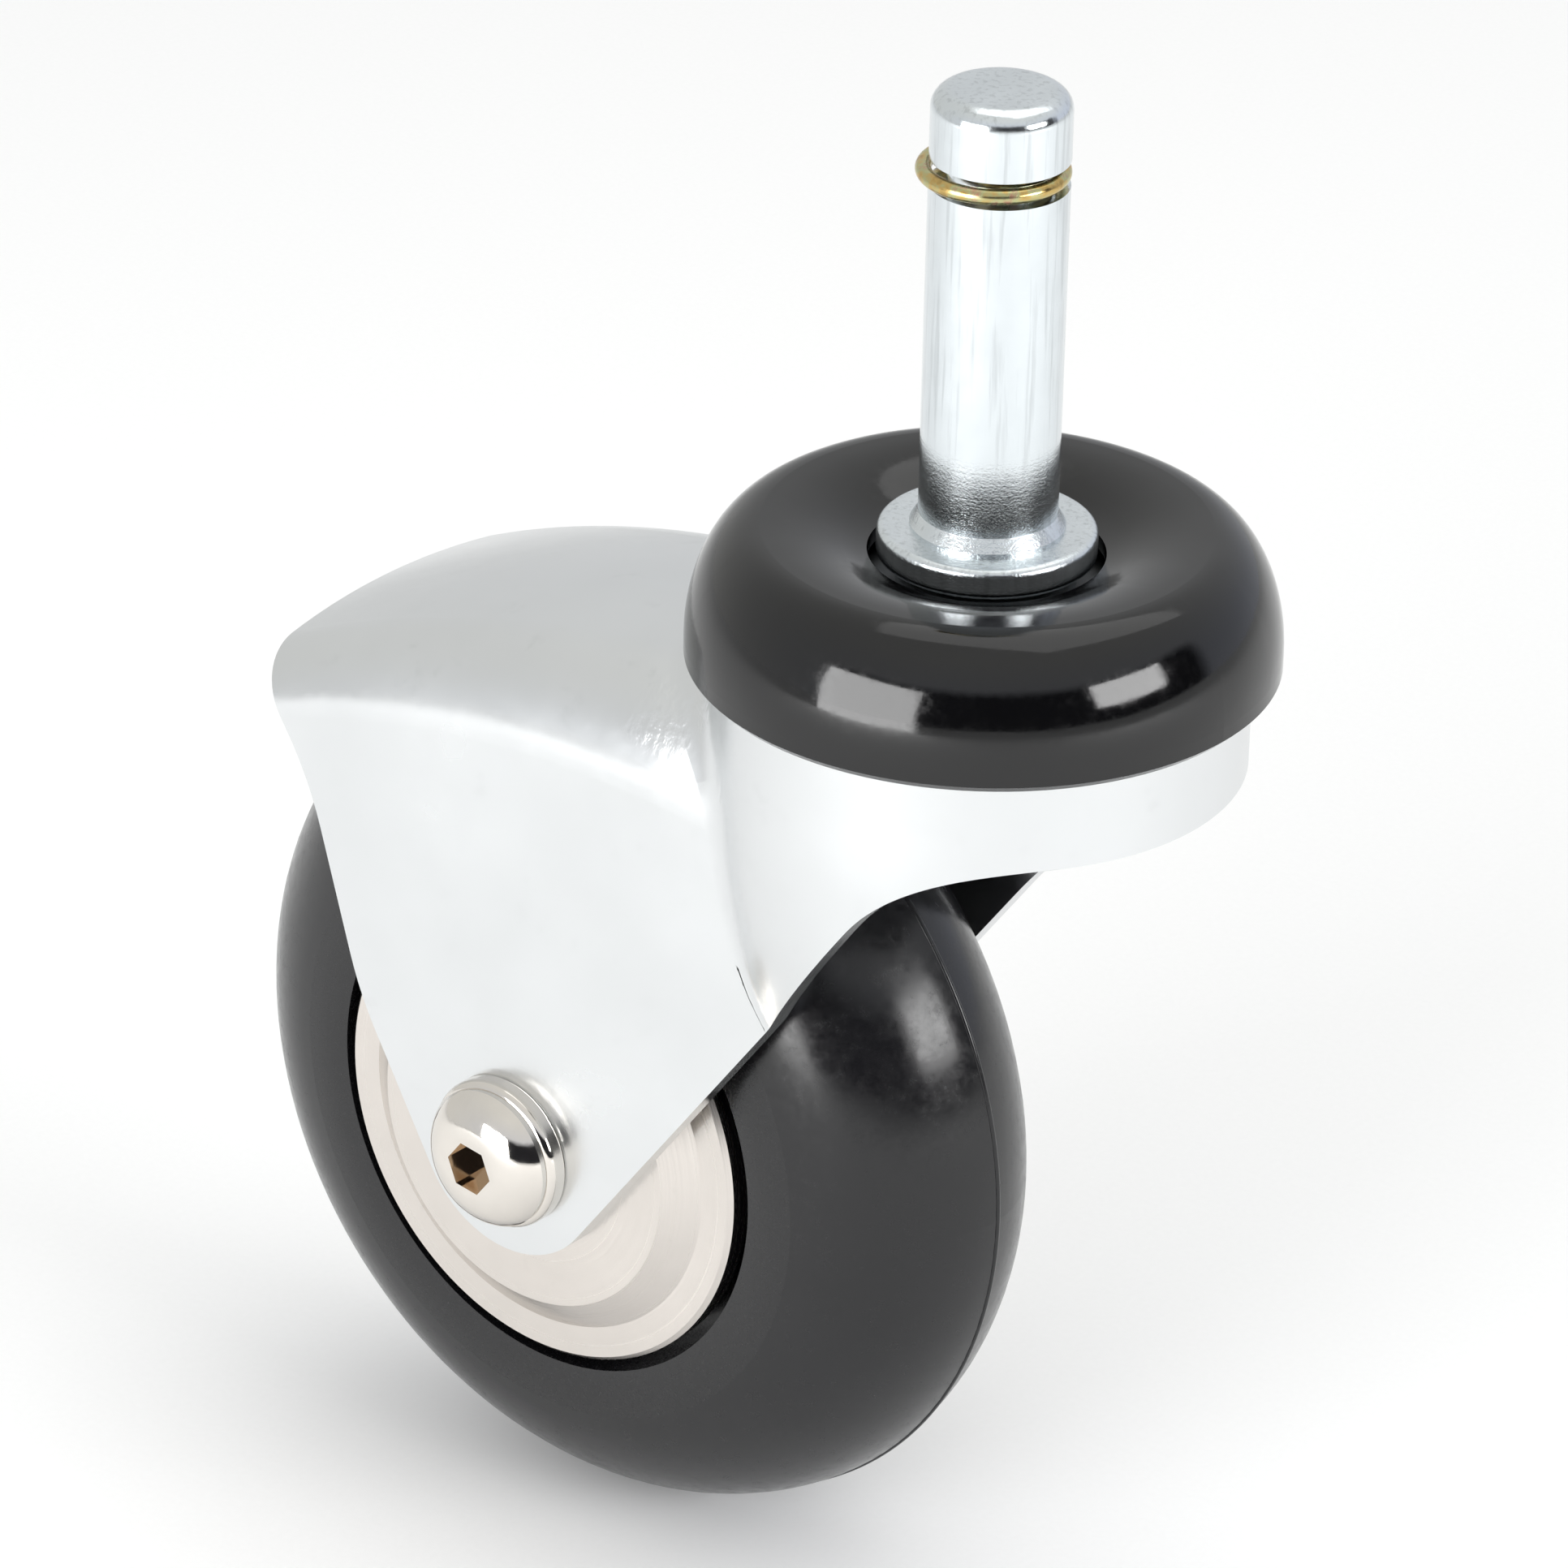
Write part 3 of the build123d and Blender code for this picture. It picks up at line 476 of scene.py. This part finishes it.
def colour_choice(name, description, default):
    """A colour property whose default is an sRGB hex value."""
    return FloatVectorProperty(
        name=name,
        description=description,
        subtype="COLOR",
        size=4,
        min=0.0,
        max=1.0,
        default=linear(default),
    )


class CasterFinishes(PropertyGroup):
    """Colours of the caster's finishes, and the sizes of its fine pieces."""

    zinc: colour_choice("Zinc plate", "Stem, collar and nut", "#DDE3E6")
    wire: colour_choice("Yellow zinc", "Grip ring", "#C6A868")
    chrome: colour_choice("Chrome", "Fork", "#DFE1E2")
    nickel: colour_choice("Nickel", "Axle screw and its washers", "#E2DDD6")
    guard: colour_choice("Guard nickel", "Thread guards", "#DCD6D0")
    cover: colour_choice("Cover", "Gloss black swivel cover", "#070708")
    tyre: colour_choice("Tyre", "Black tyre", "#131315")
    core: colour_choice("Core", "Black wheel core", "#121214")
    bearing: colour_choice("Bearing steel", "Balls and ground rings", "#B4B8BC")
    race: colour_choice("Race steel", "Pressed swivel races", "#7C7F82")
    shield: colour_choice("Shields", "Shields of the wheel bearings", "#C4C6C8")
    cage: colour_choice("Cages", "Ball cages of the wheel bearings", "#353B34")
    insert: colour_choice("Nut insert", "Nylon ring of the lock nut", "#E1DDD0")
    seam_height: FloatProperty(
        name="Seam height",
        description="How far the tyre's mould line stands up from the tread",
        default=0.12 * MM,
        subtype="DISTANCE",
        unit="LENGTH",
        precision=5,
    )
    seam_width: FloatProperty(
        name="Seam width",
        description="Width of the tyre's mould line",
        default=0.5 * MM,
        subtype="DISTANCE",
        unit="LENGTH",
        precision=5,
    )


class CasterStudio(PropertyGroup):
    """Where the camera stands and how strong the lights are."""

    view_azimuth: FloatProperty(
        name="View azimuth",
        description="Turn of the camera about the stem",
        default=math.radians(38.87),
        subtype="ANGLE",
        unit="ROTATION",
    )
    view_elevation: FloatProperty(
        name="View elevation",
        description="Height of the camera above the level",
        default=math.radians(27.3),
        subtype="ANGLE",
        unit="ROTATION",
    )
    view_roll: FloatProperty(
        name="View roll",
        description="Tilt of the camera about its own line of sight",
        default=math.radians(1.346),
        subtype="ANGLE",
        unit="ROTATION",
    )
    view_distance: FloatProperty(
        name="View distance",
        description="Distance from the camera to the collar, along the view",
        default=0.67765,
        subtype="DISTANCE",
        unit="LENGTH",
    )
    lens: FloatProperty(
        name="Lens", description="Focal length in millimetres", default=197.2, subtype="NONE"
    )
    view_right: FloatProperty(
        name="Aim across",
        description="How far the collar stands to the right of the aim",
        default=0.01606,
        subtype="DISTANCE",
        unit="LENGTH",
    )
    view_up: FloatProperty(
        name="Aim up",
        description="How far the collar stands above the aim",
        default=0.02055,
        subtype="DISTANCE",
        unit="LENGTH",
    )
    left_power: FloatProperty(
        name="Left softbox", description="Power of the left softbox", default=7.0, unit="POWER"
    )
    right_power: FloatProperty(
        name="Right softbox", description="Power of the right softbox", default=3.0, unit="POWER"
    )
    top_power: FloatProperty(
        name="Top softbox", description="Power of the top softbox", default=1.2, unit="POWER"
    )
    sky: FloatProperty(
        name="Surround", description="Brightness of the white surround", default=0.74
    )


# ---- Pieces ----


def dress(names, material):
    """Give CAD nodes their finish."""
    for name in names:
        mesh = frame["nodes"][name].data
        mesh.materials.clear()
        mesh.materials.append(material)


def link_piece(name, shape, material, body):
    """Turn a mesh under construction into a smooth piece that rides on a body."""
    mesh = bpy.data.meshes.new(name)
    bmesh.ops.recalc_face_normals(shape, faces=shape.faces)
    for face in shape.faces:
        face.smooth = True
    shape.to_mesh(mesh)
    shape.free()
    mesh.materials.append(material)
    piece = bpy.data.objects.new(name, mesh)
    bpy.context.scene.collection.objects.link(piece)
    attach(piece, body)
    return piece


def balls_of(node):
    """Centre and radius of each ball in a CAD node."""
    shape = bmesh.new()
    shape.from_mesh(frame["nodes"][node].data)
    unseen = set(shape.verts)
    found = []
    while unseen:
        island, edge = set(), [next(iter(unseen))]
        while edge:
            vertex = edge.pop()
            if vertex in unseen:
                unseen.discard(vertex)
                island.add(vertex)
                edge.extend(link.other_vert(vertex) for link in vertex.link_edges)
        low = Vector([min(v.co[i] for v in island) for i in range(3)])
        high = Vector([max(v.co[i] for v in island) for i in range(3)])
        centre = (low + high) / 2
        found.append((centre, max((v.co - centre).length for v in island)))
    shape.free()
    return sorted(found, key=lambda ball: (round(ball[0].x, 6), round(ball[0].z, 6)))


def lapped_balls(node, body, material):
    """Smooth balls in the places of a CAD node's."""
    ball = bmesh.new()
    bmesh.ops.create_icosphere(ball, subdivisions=4, radius=1.0)
    spots = [vertex.co.copy() for vertex in ball.verts]
    corners = [[vertex.index for vertex in face.verts] for face in ball.faces]
    ball.free()
    shape = bmesh.new()
    for centre, radius in balls_of(node):
        vertices = [shape.verts.new(centre + radius * spot) for spot in spots]
        for face in corners:
            shape.faces.new([vertices[i] for i in face])
    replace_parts(link_piece(f"{node}_lapped", shape, material, body), node)


def head_outline():
    """Outer and inner radius and height of the head's wall, from its deck down, in millimetres."""
    rim = HEAD_SHOULDER_Z - HEAD_SKIRT
    inner_radius = HEAD_RADIUS - SHEET
    inner_chamfer = HEAD_CHAMFER - SHEET / 2
    deck_back = DECK_TOP - SHEET
    rows = [
        (LEG_OUTER, DECK_TOP, LEG_OUTER, deck_back),
        (HEAD_RADIUS - HEAD_CHAMFER, DECK_TOP, inner_radius - inner_chamfer, deck_back),
        (HEAD_RADIUS, HEAD_SHOULDER_Z, inner_radius, INNER_SHOULDER_Z),
    ]
    for i in range(1, WALL_ROWS + 1):
        z = INNER_SHOULDER_Z - i * (INNER_SHOULDER_Z - BULGE_LOW) / WALL_ROWS
        drop = max(0.0, rim - z)
        radius = HEAD_RADIUS - HEAD_TAPER_RADIUS + math.sqrt(HEAD_TAPER_RADIUS**2 - drop**2)
        rows.append((radius, z, radius - SHEET, z))
    return rows


def bulge_span(radius, z):
    """Where the head's wall leaves the leg at the rear, and where it ends at the front."""
    crossing = math.sqrt(max(0.0, radius**2 - LEG_OUTER**2))
    rise = min(SHOULDER_ROUND, max(0.0, z - SHOULDER_START))
    flank = LEG_OUTER - SHOULDER_ROUND + math.sqrt(SHOULDER_ROUND**2 - rise**2)
    valley = -math.sqrt(max(0.0, (radius + VALLEY_RADIUS) ** 2 - (flank + VALLEY_RADIUS) ** 2))
    lift = flank + VALLEY_RADIUS - LEG_OUTER
    rear = valley + math.sqrt(max(0.0, VALLEY_RADIUS**2 - lift**2))
    if (flank + VALLEY_RADIUS) * radius / (radius + VALLEY_RADIUS) <= LEG_OUTER:
        rear = -crossing
    front = crossing
    below = z - THROAT_Z
    if z < THROAT_END_Z:
        front = min(front, EDGE_X + (z - EDGE_Z) * math.tan(FRONT_ANGLE))
    elif below < THROAT_RADIUS:
        front = min(front, THROAT_X - math.sqrt(THROAT_RADIUS**2 - below**2))
    return rear, front, valley, flank


def stand_off(x, radius, bend, valley, flank):
    """How far the wall stands from the fork's middle: the round head, or the valley beside it."""
    head = math.sqrt(max(0.0, radius**2 - x**2))
    middle = flank + VALLEY_RADIUS
    tangent = valley * radius / (radius + bend)
    if x < tangent:
        return middle - math.sqrt(max(0.0, bend**2 - (x - valley) ** 2))
    return head


def head_side(side, columns=48):
    """The wall of the round head that stands out past one leg, with the sheet's thickness."""
    shape = bmesh.new()
    outer, inner = [], []
    for out_radius, out_z, in_radius, in_z in head_outline():
        rear, front, valley, flank = bulge_span(out_radius, out_z)
        if front <= rear:
            continue
        skin, back = [], []
        for i in range(columns + 1):
            x = rear + (front - rear) * i / columns
            proud = stand_off(x, out_radius, VALLEY_RADIUS, valley, flank)
            under = stand_off(x, in_radius, VALLEY_RADIUS + SHEET, valley, flank)
            proud = max(proud, LEG_OUTER)
            under = min(max(under, LEG_OUTER), proud)
            skin.append(shape.verts.new(Vector((x, side * proud, out_z)) * MM))
            back.append(shape.verts.new(Vector((x, side * under, in_z)) * MM))
        outer.append(skin)
        inner.append(back)
    for sheet in (outer, inner):
        for row, below in zip(sheet, sheet[1:]):
            for i in range(columns):
                shape.faces.new((row[i], row[i + 1], below[i + 1], below[i]))
    for end in (0, columns):
        for i in range(len(outer) - 1):
            corners = (outer[i][end], inner[i][end], inner[i + 1][end], outer[i + 1][end])
            shape.faces.new(corners)
    for end in (0, -1):
        for i in range(columns):
            corners = (outer[end][i], outer[end][i + 1], inner[end][i + 1], inner[end][i])
            shape.faces.new(corners)
    bmesh.ops.remove_doubles(shape, verts=shape.verts, dist=0.002 * MM)
    bmesh.ops.dissolve_degenerate(shape, edges=shape.edges, dist=0.001 * MM)
    return shape


def mould_line(radius, height, width, sides=256):
    """A low rounded ridge around the tread, closed underneath, as a mesh under construction."""
    shape = bmesh.new()
    half = [(-0.5, -0.6), (-0.5, 0.0), (-0.25, 0.75)]  # across and up, as shares of width and height
    profile = [*half, (0.0, 1.0), *((-across, up) for across, up in reversed(half))]
    rings = []
    for i in range(sides):
        turn = 2 * math.pi * i / sides
        rings.append(
            [
                shape.verts.new(
                    AXLE
                    + Vector(
                        (
                            (radius + up * height) * math.cos(turn),
                            across * width,
                            (radius + up * height) * math.sin(turn),
                        )
                    )
                )
                for across, up in profile
            ]
        )
    for ring, after in zip(rings, rings[1:] + rings[:1]):
        for i in range(len(profile)):
            j = (i + 1) % len(profile)
            shape.faces.new((ring[i], ring[j], after[j], after[i]))
    return shape


class CASTER_OT_stem(Operator):
    """Zinc plated stem with its collar"""

    bl_idname = "caster.stem"
    bl_label = "Stem"

    def execute(self, context):
        dress(["stem"], zinc_plated_steel(context.scene.caster_finishes.zinc))
        return {"FINISHED"}


class CASTER_OT_grip_ring(Operator):
    """Spring ring that holds the stem in its socket"""

    bl_idname = "caster.grip_ring"
    bl_label = "Grip ring"

    def execute(self, context):
        dress(["grip_ring"], yellow_zinc_wire(context.scene.caster_finishes.wire))
        return {"FINISHED"}


class CASTER_OT_swivel_bearing(Operator):
    """Two races of the swivel and their rows of balls"""

    bl_idname = "caster.swivel_bearing"
    bl_label = "Swivel bearing"

    def execute(self, context):
        colours = context.scene.caster_finishes
        dress(["upper_race", "lower_race"], pressed_race_steel(colours.race))
        steel = lapped_ball_steel(colours.bearing)
        for row in ("upper", "lower"):
            lapped_balls(f"{row}_balls", f"{row}_ball_row", steel)
        return {"FINISHED"}


class CASTER_OT_fork(Operator):
    """Pressed fork, satin chrome plated"""

    bl_idname = "caster.fork"
    bl_label = "Fork"

    def execute(self, context):
        chrome = satin_chrome_plate(context.scene.caster_finishes.chrome)
        dress(["fork"], chrome)
        for name, side in (("fork_head_side_right", -1), ("fork_head_side_left", 1)):
            wall = link_piece(name, head_side(side), chrome, "fork_set")
            wall.data.set_sharp_from_angle(angle=math.radians(35.0))
        return {"FINISHED"}


class CASTER_OT_swivel_cover(Operator):
    """Gloss black cover over the swivel"""

    bl_idname = "caster.swivel_cover"
    bl_label = "Swivel cover"

    def execute(self, context):
        dress(["swivel_cover"], gloss_black_nylon(context.scene.caster_finishes.cover))
        return {"FINISHED"}


class CASTER_OT_axle(Operator):
    """Axle screw, washers, lock nut, sleeve and spacers"""

    bl_idname = "caster.axle"
    bl_label = "Axle"

    def execute(self, context):
        colours = context.scene.caster_finishes
        dress(["axle_bolt", "axle_washers"], polished_nickel(colours.nickel))
        dress(["axle_nut", "axle_sleeve", "spacer_rings"], fastener_zinc(colours.zinc))
        dress(["nut_insert"], nylon_insert(colours.insert))
        return {"FINISHED"}


class CASTER_OT_thread_guards(Operator):
    """Pressed nickel plated guards on both sides of the wheel"""

    bl_idname = "caster.thread_guards"
    bl_label = "Thread guards"

    def execute(self, context):
        finish_of_both = satin_nickel(context.scene.caster_finishes.guard)
        dress(["thread_guard_left", "thread_guard_right"], finish_of_both)
        return {"FINISHED"}


class CASTER_OT_wheel(Operator):
    """Moulded core and tyre, with the mould line around the tread"""

    bl_idname = "caster.wheel"
    bl_label = "Wheel"

    def execute(self, context):
        choices = context.scene.caster_finishes
        dress(["wheel_core"], black_core_nylon(choices.core))
        rubber = black_tyre_rubber(choices.tyre)
        dress(["tyre"], rubber)
        low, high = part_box("tyre")
        tread = (high[2] - low[2]) / 2
        shape = mould_line(tread, choices.seam_height, choices.seam_width)
        link_piece("tyre_mould_line", shape, rubber, "wheel")
        return {"FINISHED"}


class CASTER_OT_wheel_bearings(Operator):
    """Rings, balls, cages and shields of both wheel bearings"""

    bl_idname = "caster.wheel_bearings"
    bl_label = "Wheel bearings"

    def execute(self, context):
        colours = context.scene.caster_finishes
        ground = ground_bearing_steel(colours.bearing)
        balls = lapped_ball_steel(colours.bearing)
        cage = cage_nylon(colours.cage)
        shield = shield_steel(colours.shield)
        for side in ("left", "right"):
            bearing = f"bearing_{side}"
            dress([f"{bearing}_inner_ring", f"{bearing}_outer_ring"], ground)
            dress([f"{bearing}_cage"], cage)
            dress([f"{bearing}_shields"], shield)
            lapped_balls(f"{bearing}_balls", f"{bearing}_row", balls)
        return {"FINISHED"}


# ---- Stage ----


def point_at(obj, place, target):
    """Stand a lamp at place, looking at target."""
    obj.location = place
    obj.rotation_euler = (Vector(target) - Vector(place)).to_track_quat("-Z", "Y").to_euler()


def softbox(name, azimuth, elevation, distance, size, power):
    """A rectangular softbox at a bearing from the cover, unseen by the camera itself."""
    light = bpy.data.lights.new(name, "AREA")
    light.shape = "RECTANGLE"
    light.size, light.size_y = size
    light.energy = power
    obj = bpy.data.objects.new(name, light)
    bpy.context.scene.collection.objects.link(obj)
    turn, lift = math.radians(azimuth), math.radians(elevation)
    towards = Vector((math.cos(turn) * math.cos(lift), math.sin(turn) * math.cos(lift), math.sin(lift)))
    point_at(obj, towards * distance, (0, 0, 0))
    obj.visible_camera = False
    return obj


def studio_world(strength):
    """White surround, slightly cool and dimmer at the back, with the dim room behind the camera."""
    world = bpy.data.worlds.new("studio")
    world.use_nodes = True
    tree = world.node_tree
    background = tree.nodes["Background"]
    towards = add(tree, "TexCoord").outputs["Generated"]
    parts = add(tree, "SeparateXYZ", {"Vector": towards}).outputs
    room_side = (math.cos(ROOM_AZIMUTH), math.sin(ROOM_AZIMUTH), 0.0)
    level = add(tree, "VectorMath", {0: towards, 1: (1, 1, 0)}, operation="MULTIPLY")
    heading = add(tree, "VectorMath", {0: level.outputs["Vector"]}, operation="NORMALIZE")
    facing = add(
        tree, "VectorMath", {0: heading.outputs["Vector"], 1: room_side}, operation="DOT_PRODUCT"
    )
    across_edge = (ROOM_EDGE - 0.06, ROOM_EDGE + 0.06)
    in_sector = ramp(tree, facing.outputs["Value"], *across_edge, 0.0, 1.0)
    below_top = ramp(tree, parts["Z"], ROOM_TOP, ROOM_TOP + 0.1, 1.0, 0.0)
    room = times(tree, in_sector, below_top)
    height = ramp(tree, parts["Z"], 0.2, 0.85, 0.0, 1.0)
    white = blend_colours(tree, height, (0.95, 0.99, 1.1, 1), (1.15, 1.15, 1.12, 1))
    warm_side = ramp(tree, parts["X"], -1.0, 0.2, 1.0, 0.0)
    white = blend_colours(tree, warm_side, white, (1.0, 1.0, 0.97, 1))
    lit = blend_colours(tree, room, white, (0.03, 0.03, 0.035, 1))
    seen = add(tree, "LightPath").outputs["Is Camera Ray"]
    tree.links.new(blend_colours(tree, seen, lit, (1, 1, 1, 1)), background.inputs["Color"])
    background.inputs["Strength"].default_value = strength
    return world


class CASTER_OT_studio(Operator):
    """Pale floor, soft lights and the camera"""

    bl_idname = "caster.studio"
    bl_label = "Studio"

    def execute(self, context):
        studio = context.scene.caster_studio
        shape = bmesh.new()
        bmesh.ops.create_grid(shape, x_segments=1, y_segments=1, size=3.0)
        mesh = bpy.data.meshes.new("floor")
        shape.to_mesh(mesh)
        shape.free()
        floor = bpy.data.objects.new("floor", mesh)
        floor.location = (0, 0, cad_box[0][2])
        context.scene.collection.objects.link(floor)
        paper, tree, shader = finish("studio_paper", Roughness=0.9)
        fibre = noise(tree, place(tree), 0.6)
        tint = blend_colours(tree, fibre, linear("#F6F6F6"), linear("#FAFAFA"))
        tree.links.new(tint, shader.inputs["Base Color"])
        mesh.materials.append(paper)

        context.scene.world = studio_world(studio.sky)
        context.scene.view_settings.view_transform = "Standard"
        softbox("left_softbox", -95.0, 5.0, 0.8, (0.55, 0.5), studio.left_power)
        softbox("right_softbox", 6.0, 15.0, 0.8, (0.42, 0.24), studio.right_power)
        softbox("top_softbox", 100.0, 72.0, 0.8, (0.7, 0.7), studio.top_power)

        turn, lift = studio.view_azimuth, studio.view_elevation
        right = Vector((math.cos(turn), math.sin(turn), 0))
        level_back = Vector((math.sin(turn), -math.cos(turn), 0))
        back = level_back * math.cos(lift) + Vector((0, 0, math.sin(lift)))
        up = back.cross(right)
        rolled = Matrix.Rotation(studio.view_roll, 3, back)
        right, up = rolled @ right, rolled @ up
        camera = bpy.data.cameras.new("camera")
        camera.sensor_width = 36
        camera.lens = studio.lens
        view = bpy.data.objects.new("camera", camera)
        stand = back * studio.view_distance - right * studio.view_right - up * studio.view_up
        turned = Matrix((right, up, back)).transposed().to_4x4()
        view.matrix_world = Matrix.Translation(stand) @ turned
        context.scene.collection.objects.link(view)
        context.scene.camera = view
        return {"FINISHED"}


class CASTER_PT_panel(Panel):
    """The caster's pieces, finishes and studio"""

    bl_idname = "CASTER_PT_panel"
    bl_label = "Caster"
    bl_space_type = "VIEW_3D"
    bl_region_type = "UI"
    bl_category = "Caster"

    def draw(self, context):
        for operator in OPERATORS:
            self.layout.operator(operator.bl_idname)
        for group in (context.scene.caster_finishes, context.scene.caster_studio):
            for name in group.__annotations__:
                self.layout.prop(group, name)


OPERATORS = (
    CASTER_OT_studio,
    CASTER_OT_stem,
    CASTER_OT_grip_ring,
    CASTER_OT_swivel_bearing,
    CASTER_OT_fork,
    CASTER_OT_swivel_cover,
    CASTER_OT_axle,
    CASTER_OT_thread_guards,
    CASTER_OT_wheel,
    CASTER_OT_wheel_bearings,
)
CLASSES = (CasterFinishes, CasterStudio, *OPERATORS, CASTER_PT_panel)


def register():
    for cls in CLASSES:
        bpy.utils.register_class(cls)
    bpy.types.Scene.caster_finishes = PointerProperty(type=CasterFinishes)
    bpy.types.Scene.caster_studio = PointerProperty(type=CasterStudio)


def unregister():
    del bpy.types.Scene.caster_finishes
    del bpy.types.Scene.caster_studio
    for cls in reversed(CLASSES):
        bpy.utils.unregister_class(cls)


def main():
    register()
    bpy.ops.caster.studio()
    bpy.ops.caster.stem()
    bpy.ops.caster.grip_ring()
    bpy.ops.caster.swivel_bearing()
    bpy.ops.caster.fork()
    bpy.ops.caster.swivel_cover()
    bpy.ops.caster.axle()
    bpy.ops.caster.thread_guards()
    bpy.ops.caster.wheel()
    bpy.ops.caster.wheel_bearings()


if __name__ == "__main__":
    main()
